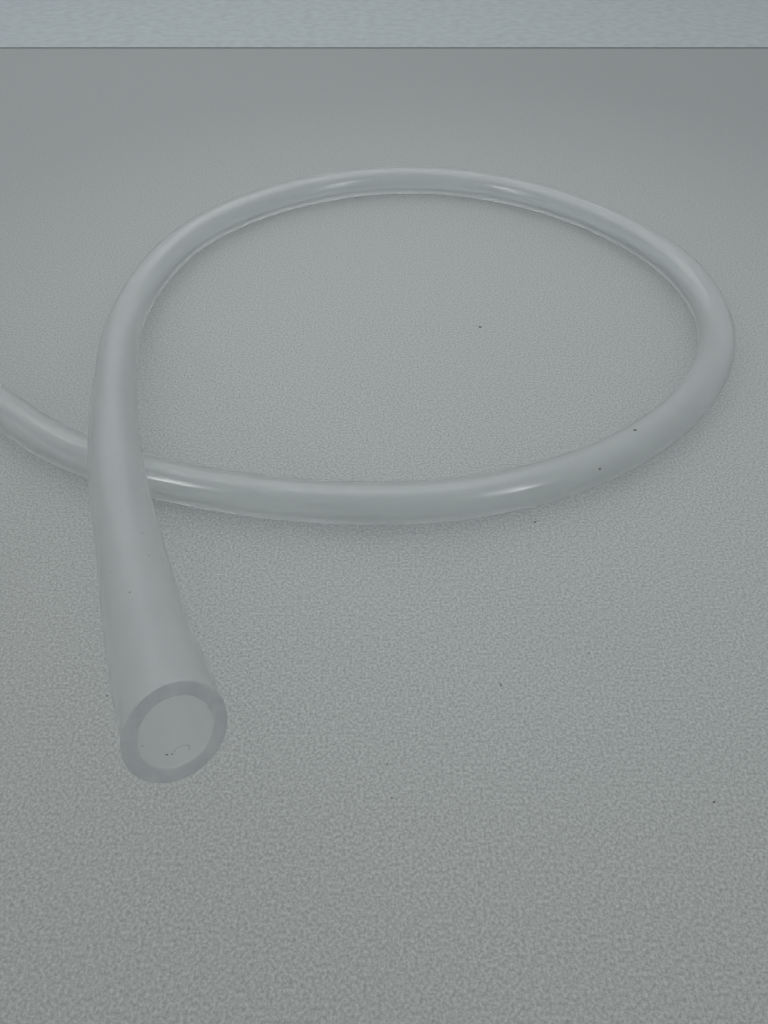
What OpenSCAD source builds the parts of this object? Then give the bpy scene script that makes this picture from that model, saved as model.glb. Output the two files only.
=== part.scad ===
// Silicone tubing: one soft, milky tube with a round bore, lying on a bench in a single loop.
// It comes in along the bench from the left, runs once round and passes back over itself.
// Its own curl lifts the last stretch, so that end stands clear of the bench and faces front.
// Both ends are plain cuts, and the raised one is a little off square, as a hand cut is.
// Millimetres, +Z up, with the bench at Z = 0 and the origin on the bench under the middle
// of the whole piece.

/* [Tube] */
// Width of the bore
bore_d = 10; // [8:0.5:12]
// Thickness of the wall, all round
wall = 2; // [1.25:0.25:3]
// Length of the straight stretch at each cut end, where a barb or a plug goes in
straight_l = 25; // [15:1:35]
// How far the raised end's cut face is turned off square, about the vertical, in degrees
cut_turn = 12; // [0:1:20]

/* [Loop] */
// Width of the loop on the bench, between the middles of the tube
loop_w = 248; // [200:1:300]
// Height of the raised end above the bench, under the place where its straight stretch starts
raised_h = 70; // [58:1:84]

/* [Smoothness] */
// Flats round the curved length of the tube
sides = 16; // [12:4:24]
// Rings of the sweep from each route point to the next
rings_per_step = 3; // [2:1:4]

/* [Hidden] */

outer_d = bore_d + 2 * wall;

// The middle line of the curved length, as [x, y, lift], where the lift is the height of the
// tube's underside above the bench. The two sizes of the loop stretch these numbers.
ROUTE = [
    // along the bench from the left, under the crossing
    [-155, 21, 0],
    [-123, -4, 0],
    [-80, -37, 0],
    [-36, -55, 0],
    // once round
    [15, -64, 0],
    [64, -61, 0],
    [111, -42, 0],
    [148, -9, 0],
    [169, 33, 0],
    [170, 80, 0],
    [151, 124, 0],
    [115, 161, 0],
    [71, 181, 0],
    [25, 182, 0],
    [-20, 163, 0],
    [-55, 129, 0],
    [-73, 84, 0],
    // up and over the first stretch, and on to the front
    [-74, 34, 4],
    [-60, -24, 18],
    [-41, -81, 36],
    [-24, -123, 50],
    [-5, -165, 70],
];
ROUTE_LOOP_W = 248;

// The ways that the two straight stretches point, out of the curved length
TAIL_AIM = [-4, 3, 0];
RAISED_AIM = [11, -22, 13];

CUT_FN = 96; // facets of the true round ends, when drawn as a mesh
LAP = 1; // how far each straight stretch reaches back over the sweep
OVERRUN = 1; // how far the bore's cutter runs out past each face that it opens
SEAT = 0.1; // how far inside the wall of the straight stretches the sweep's end rings lie

steps = len(ROUTE) - 1;
spread = loop_w / ROUTE_LOOP_W;
rise = raised_h / ROUTE[steps].z;

function unit(v) = v / norm(v);

// The route at its real size, with the tube's middle half a tube above its underside
line = [for (p = ROUTE) [p.x * spread, p.y * spread, p.z * rise + outer_d / 2]];

// How the line runs through a point: along its two neighbours, level where the tube lies on
// the bench, and as the straight stretches point at the two ends
function pull(i) =
    i == 0 ? -norm(line[1] - line[0]) * unit(TAIL_AIM) :
    i == steps ? norm(line[steps] - line[steps - 1]) * unit(RAISED_AIM) :
    let (along = (line[i + 1] - line[i - 1]) / 2) [along.x, along.y, ROUTE[i].z == 0 ? 0 : along.z];

// A smooth line through the points: its place and its direction, a share t of the way on from point i
function place(i, t) =
    (1 + 2 * t) * (1 - t) ^ 2 * line[i] + t * (1 - t) ^ 2 * pull(i)
    + (3 - 2 * t) * t ^ 2 * line[i + 1] - (1 - t) * t ^ 2 * pull(i + 1);
function heading(i, t) =
    unit(6 * t * (1 - t) * (line[i + 1] - line[i])
    + (1 - t) * (1 - 3 * t) * pull(i) + t * (3 * t - 2) * pull(i + 1));

last_ring = steps * rings_per_step;

// Ring k of the sweep: points of the given radius round the line, in a plane square to it
function ring(k, radius) =
    let (i = min(floor(k / rings_per_step), steps - 1), t = k / rings_per_step - i)
    let (middle = place(i, t), along = heading(i, t))
    let (side = unit(cross([0, 0, 1], along)), top = cross(along, side))
    [for (j = [0 : sides - 1]) let (a = 360 * j / sides) middle + radius * (cos(a) * side + sin(a) * top)];

// The curved length, as one hollow sweep
module sweep() {
    function at_end(k) = k == 0 || k == last_ring;
    function outer_r(k) = outer_d / 2 - (at_end(k) ? SEAT : 0);
    function bore_r(k) = at_end(k) ? (bore_d / 2 + SEAT) / cos(180 / sides) : bore_d / 2;
    outside = [for (k = [0 : last_ring]) each ring(k, outer_r(k))];
    inside = [for (k = [0 : last_ring]) each ring(k, bore_r(k))];
    function out_at(k, j) = k * sides + j % sides;
    function in_at(k, j) = len(outside) + out_at(k, j);
    skins = [
        for (k = [0 : last_ring - 1], j = [0 : sides - 1]) each [
            [out_at(k, j), out_at(k + 1, j), out_at(k + 1, j + 1), out_at(k, j + 1)],
            [in_at(k, j), in_at(k, j + 1), in_at(k + 1, j + 1), in_at(k + 1, j)],
        ]
    ];
    rims = [
        for (j = [0 : sides - 1]) each [
            [out_at(0, j), out_at(0, j + 1), in_at(0, j + 1), in_at(0, j)],
            [out_at(last_ring, j), in_at(last_ring, j), in_at(last_ring, j + 1), out_at(last_ring, j + 1)],
        ]
    ];
    polyhedron(points = concat(outside, inside), faces = concat(skins, rims));
}

function turned(v, angle) = [
    v.x * cos(angle) - v.y * sin(angle),
    v.x * sin(angle) + v.y * cos(angle),
    v.z,
];

// Stands what is drawn along +Z on a point, with its +Z along the given way
module stand(point, way) {
    up = unit(way);
    translate(point) rotate([0, acos(up.z), atan2(up.y, up.x)]) children();
}

// A straight stretch from a point of the line outwards, to a flat cut that faces the given way
module straight_end(start, aim, cut_face) {
    uncut_l = straight_l + outer_d;
    difference() {
        stand(start, aim)
            translate([0, 0, -LAP])
                difference() {
                    cylinder(h = LAP + uncut_l, d = outer_d, $fn = CUT_FN);
                    translate([0, 0, -OVERRUN])
                        cylinder(h = LAP + uncut_l + 2 * OVERRUN, d = bore_d, $fn = CUT_FN);
                }
        stand(start + straight_l * unit(aim), cut_face) cylinder(h = 2 * outer_d, d = 4 * outer_d);
    }
}

module tube() {
    color("#E6EAEE") {
        sweep();
        straight_end(line[0], TAIL_AIM, TAIL_AIM);
        straight_end(line[steps], RAISED_AIM, turned(RAISED_AIM, cut_turn));
    }
}

tube();
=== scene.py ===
"""A length of soft, milky silicone tubing in one open loop, with its raised end towards the camera."""

import math

import bpy
from mathutils import Matrix, Vector


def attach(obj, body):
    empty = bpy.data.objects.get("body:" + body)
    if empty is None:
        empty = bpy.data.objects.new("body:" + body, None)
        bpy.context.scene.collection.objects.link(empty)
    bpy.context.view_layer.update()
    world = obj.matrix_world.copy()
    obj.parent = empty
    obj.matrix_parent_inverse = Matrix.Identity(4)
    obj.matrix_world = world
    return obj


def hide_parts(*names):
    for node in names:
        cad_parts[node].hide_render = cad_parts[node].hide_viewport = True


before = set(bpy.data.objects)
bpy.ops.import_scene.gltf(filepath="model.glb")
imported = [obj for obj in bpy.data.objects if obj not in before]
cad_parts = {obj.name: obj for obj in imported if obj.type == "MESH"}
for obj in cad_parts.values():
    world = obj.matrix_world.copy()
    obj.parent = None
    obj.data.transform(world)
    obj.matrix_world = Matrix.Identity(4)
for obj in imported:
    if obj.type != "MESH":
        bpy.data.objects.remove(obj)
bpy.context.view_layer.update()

MM = 0.001
UP = Vector((0, 0, 1))

# The tube
OUTER_R = 7 * MM
BORE_R = 5 * MM
STRAIGHT = 25 * MM  # the straight stretch at each end
CUT_TURN = math.radians(12)  # the raised end's cut, off square about the vertical
EDGE = 0.1 * MM  # the step at the cuts' edges: see cut_rings
SIDES = 64  # of each ring
RING_GAP = 2.5 * MM  # along the tube

# The middle line of the curved length in mm, as part.scad has it: x, y, and the underside's height
ROUTE = [
    # along the bench from the left, under the crossing
    (-155, 21, 0),
    (-123, -4, 0),
    (-80, -37, 0),
    (-36, -55, 0),
    # once round
    (15, -64, 0),
    (64, -61, 0),
    (111, -42, 0),
    (148, -9, 0),
    (169, 33, 0),
    (170, 80, 0),
    (151, 124, 0),
    (115, 161, 0),
    (71, 181, 0),
    (25, 182, 0),
    (-20, 163, 0),
    (-55, 129, 0),
    (-73, 84, 0),
    # up and over the first stretch, and on to the front
    (-74, 34, 4),
    (-60, -24, 18),
    (-41, -81, 36),
    (-24, -123, 50),
    (-5, -165, 70),
]
TAIL_AIM = Vector((-4, 3, 0)).normalized()
RAISED_AIM = Vector((11, -22, 13)).normalized()

# Dirt: the place and the radius of each speck, in mm
TUBE_SPECKS = [
    ((117.7, -36.5, 13.9), 0.75),
    ((103.0, -52.9, 11.2), 0.55),
    ((-16.5, -131.0, 67.3), 0.2),
    ((-12.3, -140.2, 71.4), 0.2),
    ((-10.7, -154.6, 78.8), 0.25),
    ((-17.9, -145.2, 72.7), 0.15),
    # in the mouth of the bore
    ((2.7, -185.4, 83.4), 0.25),
    ((3.3, -185.2, 83.1), 0.2),
    ((-0.1, -185.2, 85.7), 0.2),
]
BENCH_SPECKS = [
    ((73.7, 48.5, 0), 0.9),
    ((81.4, -66.3, 0), 0.5),
    ((89.6, -116.3, 0), 0.3),
    ((63.8, -126.4, 0), 0.4),
    ((-42.4, -129.7, 0), 0.35),
    ((32.8, -148.7, 0), 0.3),
    ((33.9, -157.3, 0), 0.25),
    ((111.9, -158.3, 0), 0.4),
]
SPECK_CORE = 0.5  # of a speck's radius, where it starts to fade
DUST_CELLS = 80  # to the metre
DUST_CORE, DUST_RIM = 0.008, 0.016  # of a cell
DUST_SHARE = 0.35  # how far it covers what is under it

# The hair in the mouth of the bore: most of a ring, in mm
HAIR_PLACE = (4.45, -184.47, 82.86)
HAIR_BEND = 1.06  # the ring's radius
HAIR_BULGE = Vector((0, 0.85, -0.52))  # from the ring's middle to the middle of the hair
HAIR_CORE, HAIR_RIM = 0.03, 0.12  # from the hair's middle, where it starts to fade and is gone
HAIR_GONE, HAIR_FULL = -0.4, -0.3  # along HAIR_BULGE, at both of its ends
HAIR_SHARE = 0.45  # how far it covers what is under it

# The camera: held in the hand over the front of the bench, looking down along +Y
CAMERA_PLACE = Vector((32, -230, 178.5)) * MM
CAMERA_TILT = math.radians(46.7)  # down from level
CAMERA_LENS = 26.0  # mm, for a picture 36 mm high
CAMERA_NEAR = 0.01


# ---------------------------------------------------------------- camera


def make_camera():
    """The photograph's viewing angle."""
    data = bpy.data.cameras.new("camera")
    data.lens = CAMERA_LENS
    data.clip_start = CAMERA_NEAR
    camera = bpy.data.objects.new("camera", data)
    camera.location = CAMERA_PLACE
    camera.rotation_euler = (math.pi / 2 - CAMERA_TILT, 0, 0)
    bpy.context.collection.objects.link(camera)
    bpy.context.scene.camera = camera


# ---------------------------------------------------------------- the tube's line

line = [Vector((x, y, lift)) * MM + UP * OUTER_R for x, y, lift in ROUTE]
steps = len(line) - 1


def pull(i):
    """How the line runs through point i: along its neighbours, and level where the tube lies down."""
    if i == 0:
        return -TAIL_AIM * (line[1] - line[0]).length
    if i == steps:
        return RAISED_AIM * (line[steps] - line[steps - 1]).length
    along = (line[i + 1] - line[i - 1]) / 2
    if ROUTE[i][2] == 0:
        along.z = 0
    return along


def line_place(i, t):
    """The line's place a share t of the way on from point i."""
    return (
        (1 + 2 * t) * (1 - t) ** 2 * line[i]
        + t * (1 - t) ** 2 * pull(i)
        + (3 - 2 * t) * t**2 * line[i + 1]
        - (1 - t) * t**2 * pull(i + 1)
    )


def line_heading(i, t):
    """The line's direction at that place."""
    return (
        6 * t * (1 - t) * (line[i + 1] - line[i])
        + (1 - t) * (1 - 3 * t) * pull(i)
        + t * (3 * t - 2) * pull(i + 1)
    ).normalized()


def stations():
    """Places and directions about RING_GAP apart, from the tail's cut to the raised end's."""
    found = []
    straight_rings = round(STRAIGHT / RING_GAP)
    for k in range(straight_rings, 0, -1):
        found.append((line[0] + TAIL_AIM * STRAIGHT * k / straight_rings, -TAIL_AIM))
    for i in range(steps):
        rings = math.ceil((line[i + 1] - line[i]).length / RING_GAP)
        found += [(line_place(i, k / rings), line_heading(i, k / rings)) for k in range(rings)]
    for k in range(straight_rings + 1):
        found.append((line[steps] + RAISED_AIM * STRAIGHT * k / straight_rings, RAISED_AIM))
    return found


# ---------------------------------------------------------------- meshes


def new_piece(name, points, faces, *materials):
    """An object of that name in the scene, with its mesh and its materials."""
    mesh = bpy.data.meshes.new(name)
    mesh.from_pydata([tuple(p) for p in points], [], faces)
    mesh.update()
    piece = bpy.data.objects.new(name, mesh)
    bpy.context.collection.objects.link(piece)
    for material in materials:
        mesh.materials.append(material)
    return piece


def ring(middle, along, radius, cut_face=None):
    """Points round the line, square to it, or in the plane of a cut that faces its own way."""
    side = UP.cross(along).normalized()
    top = along.cross(side)
    points = []
    for j in range(SIDES):
        a = 2 * math.pi * j / SIDES
        out = radius * (math.cos(a) * side + math.sin(a) * top)
        if cut_face is not None:
            out -= along * out.dot(cut_face) / along.dot(cut_face)
        points.append(middle + out)
    return points


def cut_rings(middle, along, cut_face):
    """The rings over a cut end, from the outside to the bore, with a step of EDGE at both edges.

    The line leaves the tube at the raised end, so that cut's edges are rounded off. It enters the
    tube at the tail, so there the edges stand up from the cut by as much.
    """
    corner = [(EDGE, 0), (EDGE / 4, EDGE / 4), (0, EDGE)]  # back along the line, in from the wall
    rings = [ring(middle - along * back, along, OUTER_R - inset, cut_face) for back, inset in corner]
    rings += [
        ring(middle - along * back, along, BORE_R + inset, cut_face)
        for back, inset in reversed(corner)
    ]
    return rings


def tube_piece(skin, cut):
    """The whole tube as one closed skin: along the outside, over one cut, back through the bore.

    The skin is made of bands of faces, band m between rows m and m + 1.
    """
    found = stations()
    tail, tail_way = found[0]
    mouth, mouth_way = found[-1]
    mouth_face = Matrix.Rotation(CUT_TURN, 3, "Z") @ mouth_way
    in_the_way = 1 + math.ceil(OUTER_R * math.tan(CUT_TURN) / RING_GAP)  # rings too near the slant
    between = found[1:-in_the_way]
    tail_cut = cut_rings(tail, tail_way, tail_way)
    mouth_cut = cut_rings(mouth, mouth_way, mouth_face)
    rows = [ring(p, way, OUTER_R) for p, way in between] + mouth_cut
    rows += [ring(p, way, BORE_R) for p, way in reversed(between)] + tail_cut[::-1]
    faces = []
    for m in range(len(rows)):
        n = (m + 1) % len(rows)
        for j in range(SIDES):
            k = (j + 1) % SIDES
            faces.append((m * SIDES + j, m * SIDES + k, n * SIDES + k, n * SIDES + j))
    piece = new_piece("silicone_tube", [v for row in rows for v in row], faces, skin, cut)
    bands = len(mouth_cut) - 1  # over each cut
    cuts = (len(between), len(rows) - len(tail_cut))  # the first band over each
    flat_bands = [first + bands // 2 for first in cuts]
    for first in cuts:
        for face in piece.data.polygons[first * SIDES : (first + bands) * SIDES]:
            face.material_index = 1
    for face in piece.data.polygons:
        face.use_smooth = face.index // SIDES not in flat_bands
    return piece


# ---------------------------------------------------------------- materials

SILICONE_INDEX = 1.41
HAZE_INDEX = 1.07

# Colours, as linear light. A pair is the two ends that a pattern runs between.
MILK = ((0.75, 0.78, 0.782, 1), (0.845, 0.87, 0.872, 1))
TUBE_DIRT = (0.05, 0.045, 0.04, 1)
LAMP_TINT = (0.8, 0.8, 0.8, 1)
CUT_SHADES = ((0.385, 0.415, 0.42, 1), (0.435, 0.465, 0.465, 1))
# The bench's colours hold painted light: a painted pool of light round the loop, and painted shade
# beyond it, warmer in front and cooler behind
BENCH_LIT_POOL = ((0.20, 0.22, 0.217, 1), (0.43, 0.455, 0.45, 1))
BENCH_FRONT_SHADE = ((0.155, 0.161, 0.149, 1), (0.30, 0.306, 0.284, 1))
BENCH_BACK_SHADE = ((0.155, 0.172, 0.17, 1), (0.285, 0.312, 0.31, 1))
BENCH_DIRT = (0.06, 0.055, 0.05, 1)
BAND_SHADES = ((0.285, 0.32, 0.332, 1), (0.325, 0.365, 0.378, 1))

# How the bench's painted pool of light fades to painted shade over it, in metres but for its middle
POOL_MIDDLE = (75, 15, 0)  # where it is lightest, in mm
FRONT_END, BACK_START = -0.15, 0.15  # along Y
POOL_END, SHADE_START = 0.05, 0.4  # from POOL_MIDDLE

NOISE_LOW, NOISE_HIGH = 0.3, 0.7  # most of a noise pattern lies between them


def new_material(name, **values):
    """A material and its Principled shader, with the named sockets set."""
    material = bpy.data.materials.new(name)
    material.use_nodes = True
    shader = material.node_tree.nodes["Principled BSDF"]
    for socket, value in values.items():
        shader.inputs[socket.replace("_", " ")].default_value = value
    return material, shader


def add_node(material, kind, settings=None, **sockets):
    """A node of that kind, with its settings, and its sockets set or linked."""
    node = material.node_tree.nodes.new("ShaderNode" + kind)
    for key, value in (settings or {}).items():
        setattr(node, key, value)
    for key, value in sockets.items():
        set_socket(material, node.inputs[key.replace("_", " ")], value)
    return node


def set_socket(material, socket, value):
    """Links the socket to another one, or gives it a plain value."""
    if isinstance(value, bpy.types.NodeSocket):
        material.node_tree.links.new(value, socket)
    else:
        socket.default_value = value


def maths(material, operation, *values):
    """The result of a Math node on these values or sockets."""
    node = add_node(material, "Math", {"operation": operation})
    for socket, value in zip(node.inputs, values):
        set_socket(material, socket, value)
    return node.outputs[0]


def span(material, value, low, high, to_low, to_high):
    """The value's span from low to high, eased into another span and held to it."""
    return add_node(
        material,
        "MapRange",
        {"interpolation_type": "SMOOTHSTEP"},
        Value=value,
        From_Min=low,
        From_Max=high,
        To_Min=to_low,
        To_Max=to_high,
    ).outputs["Result"]


def blend_colours(material, share, first, second):
    """The colour that share of the way from the first to the second."""
    node = add_node(material, "Mix", {"data_type": "RGBA"})
    colour_sockets = (node.inputs[0], node.inputs[6], node.inputs[7])
    for socket, value in zip(colour_sockets, (share, first, second)):
        set_socket(material, socket, value)
    return node.outputs[2]


def noise(material, where, scale, detail):
    """A cloudy pattern, with about scale lumps to the metre."""
    return add_node(material, "TexNoise", Vector=where, Scale=scale, Detail=detail).outputs["Fac"]


def spread(material, pattern):
    """A noise pattern drawn out to the whole of 0 to 1."""
    return span(material, pattern, NOISE_LOW, NOISE_HIGH, 0, 1)


def object_place(material):
    """The place on the object, in metres."""
    return add_node(material, "TexCoord").outputs["Object"]


def silicone():
    """Soft milky silicone: seen through as a haze, faintly lit from within, with dust on it.

    The haze blurs the sharp rims that silicone's true index of 1.41 would give clear tubing, so the
    body's index is low, and the coat over it has the true one.
    """
    material, shader = new_material(
        "milky_silicone",
        Roughness=0.28,
        IOR=HAZE_INDEX,
        Transmission_Weight=0.91,
        Subsurface_Weight=1.0,
        Subsurface_Scale=0.012,
        Subsurface_Radius=(1.0, 1.05, 1.1),
        Coat_Weight=0.6,
        Coat_Roughness=0.16,
        Coat_IOR=SILICONE_INDEX,
    )
    where = object_place(material)
    milk = blend_colours(material, noise(material, where, scale=55, detail=3), *MILK)
    dirt = [spot(material, where, place, radius) for place, radius in TUBE_SPECKS]
    dirt += [dust(material, where), hair(material, where)]
    soiled = blend_colours(material, most(material, dirt), milk, TUBE_DIRT)
    set_socket(material, shader.inputs["Base Color"], soiled)
    let_lamps_through(material, LAMP_TINT)
    return material


def most(material, shares):
    """The largest of several shares."""
    found = shares[0]
    for share in shares[1:]:
        found = maths(material, "MAXIMUM", found, share)
    return found


def distance_from(material, where, place):
    """How far each place on the object is from that one, which is in mm."""
    away = add_node(material, "VectorMath", {"operation": "DISTANCE"}, Vector=where)
    away.inputs[1].default_value = Vector(place) * MM
    return away.outputs["Value"]


def spot(material, where, place, radius):
    """A speck of that radius at that place, both in mm, soft at its rim."""
    away = distance_from(material, where, place)
    return span(material, away, SPECK_CORE * radius * MM, radius * MM, 1, 0)


def dust(material, where):
    """Tiny specks here and there."""
    cells = add_node(material, "TexVoronoi", Vector=where, Scale=DUST_CELLS).outputs["Distance"]
    return span(material, cells, DUST_CORE, DUST_RIM, DUST_SHARE, 0)


def hair(material, where):
    """A short bent hair on the bore's wall just inside the mouth."""
    away = distance_from(material, where, HAIR_PLACE)
    off_ring = maths(material, "ABSOLUTE", maths(material, "SUBTRACT", away, HAIR_BEND * MM))
    line_share = span(material, off_ring, HAIR_CORE * MM, HAIR_RIM * MM, HAIR_SHARE, 0)
    from_place = add_node(material, "VectorMath", {"operation": "SUBTRACT"}, Vector=where)
    from_place.inputs[1].default_value = Vector(HAIR_PLACE) * MM
    bulge = add_node(
        material, "VectorMath", {"operation": "DOT_PRODUCT"}, Vector=from_place.outputs["Vector"]
    )
    bulge.inputs[1].default_value = HAIR_BULGE
    kept = span(material, bulge.outputs["Value"], HAIR_GONE * MM, HAIR_FULL * MM, 0, 1)
    return maths(material, "MULTIPLY", line_share, kept)


def let_lamps_through(material, colour):
    """Takes the shader out of a lamp's way, so that each of the tube's walls only tints its light."""
    nodes, links = material.node_tree.nodes, material.node_tree.links
    output = next(n for n in nodes if n.type == "OUTPUT_MATERIAL")
    shader = output.inputs["Surface"].links[0].from_socket
    clear = add_node(material, "BsdfTransparent", Color=colour).outputs["BSDF"]
    mix = add_node(material, "MixShader")
    links.new(add_node(material, "LightPath").outputs["Is Shadow Ray"], mix.inputs[0])
    links.new(shader, mix.inputs[1])
    links.new(clear, mix.inputs[2])
    links.new(mix.outputs["Shader"], output.inputs["Surface"])


def cut_silicone():
    """The cut faces: matt and finely scored by the blade."""
    material, shader = new_material(
        "cut_silicone", Roughness=0.6, IOR=SILICONE_INDEX, Transmission_Weight=0.3
    )
    where = object_place(material)
    grain = noise(material, where, scale=500, detail=3)
    worn = blend_colours(material, spread(material, grain), *CUT_SHADES)
    set_socket(material, shader.inputs["Base Color"], worn)
    scored = add_node(material, "Mapping", Vector=where, Rotation=(0, 0, 0.6), Scale=(1, 9, 1))
    lines = noise(material, scored.outputs["Vector"], scale=500, detail=2)
    bump = add_node(material, "Bump", Height=lines, Strength=0.3, Distance=0.1 * MM)
    set_socket(material, shader.inputs["Normal"], bump.outputs["Normal"])
    return material


def bench_top():
    """A pale, finely grained top with a few crumbs, under a painted pool of light round the loop that
    fades outwards to painted shade, warmer in front.
    """
    material, shader = new_material("bench_top", Roughness=0.6)
    where = object_place(material)
    grain = add_node(
        material, "TexNoise", Vector=where, Scale=1300, Detail=5, Roughness=0.8
    ).outputs["Fac"]
    share = spread(material, grain)
    around = blend_colours(material, share, *BENCH_LIT_POOL)
    front = blend_colours(material, share, *BENCH_FRONT_SHADE)
    back = blend_colours(material, share, *BENCH_BACK_SHADE)
    # Painted light: the grain is lightest in the painted pool round the loop and darker beyond it, as
    # painted shade
    sides = add_node(material, "SeparateXYZ", Vector=where).outputs
    backwards = span(material, sides["Y"], FRONT_END, BACK_START, 0, 1)
    middle_away = distance_from(material, where, POOL_MIDDLE)
    outwards = span(material, middle_away, POOL_END, SHADE_START, 0, 1)
    away = blend_colours(material, backwards, front, back)
    painted_pool_and_shade = blend_colours(material, outwards, around, away)
    crumbs = most(material, [spot(material, where, place, radius) for place, radius in BENCH_SPECKS])
    soiled = blend_colours(material, crumbs, painted_pool_and_shade, BENCH_DIRT)
    set_socket(material, shader.inputs["Base Color"], soiled)
    bump = add_node(material, "Bump", Height=grain, Strength=0.25, Distance=0.3 * MM)
    set_socket(material, shader.inputs["Normal"], bump.outputs["Normal"])
    return material


def wall_paint():
    """The faintly mottled paint of the far band."""
    material, shader = new_material("wall_paint", Roughness=0.8)
    mottle = noise(material, object_place(material), scale=120, detail=5)
    paint = blend_colours(material, spread(material, mottle), *BAND_SHADES)
    set_socket(material, shader.inputs["Base Color"], paint)
    return material


# ---------------------------------------------------------------- the stage

BENCH_HALF = 4.0  # metres
BAND_Y = 0.455  # where the far band starts
BAND_LIFT = 0.5 * MM  # over the bench under it
LIT = Vector((0.04, 0.0, 0))  # what the lamps aim at
ROOM_LIGHT = (0.95, 0.98, 1.0, 1)
ROOM_STRENGTH = 0.6


def flat_piece(name, y_from, height, material):
    """A level sheet as wide as the stage, from y_from to its back."""
    corners = [
        (-BENCH_HALF, y_from, height),
        (BENCH_HALF, y_from, height),
        (BENCH_HALF, BENCH_HALF, height),
        (-BENCH_HALF, BENCH_HALF, height),
    ]
    return new_piece(name, corners, [(0, 1, 2, 3)], material)


def make_stage():
    """The bench and the paler band beyond it."""
    flat_piece("bench", -BENCH_HALF, 0, bench_top())
    flat_piece("far_band", BAND_Y, BAND_LIFT, wall_paint())


def make_lamp(name, azimuth, elevation, distance, size, watts):
    """A round lamp in that direction from the loop: azimuth clockwise from +Y, both in degrees."""
    data = bpy.data.lights.new(name, "AREA")
    data.shape = "DISK"
    data.size = size
    data.energy = watts
    lamp = bpy.data.objects.new(name, data)
    a, e = math.radians(azimuth), math.radians(elevation)
    way = Vector((math.sin(a) * math.cos(e), math.cos(a) * math.cos(e), math.sin(e)))
    lamp.location = LIT + way * distance
    lamp.rotation_euler = way.to_track_quat("Z", "Y").to_euler()
    bpy.context.collection.objects.link(lamp)


def make_world():
    """The even light of the room."""
    world = bpy.data.worlds.new("room")
    bpy.context.scene.world = world
    world.use_nodes = True
    background = world.node_tree.nodes["Background"]
    background.inputs["Color"].default_value = ROOM_LIGHT
    background.inputs["Strength"].default_value = ROOM_STRENGTH


# ---------------------------------------------------------------- the scene

make_camera()

tube = tube_piece(silicone(), cut_silicone())
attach(tube, "root")
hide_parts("tube")
centre_line = [p for p, way in stations()]

make_stage()
make_world()
make_lamp("window", azimuth=-20, elevation=58, distance=0.9, size=1.0, watts=3.2)
make_lamp("lamp_right", azimuth=137, elevation=36, distance=1.3, size=0.2, watts=1.4)
make_lamp("lamp_left", azimuth=-130, elevation=35, distance=1.3, size=0.2, watts=1.4)

bpy.context.scene.view_settings.view_transform = "Standard"
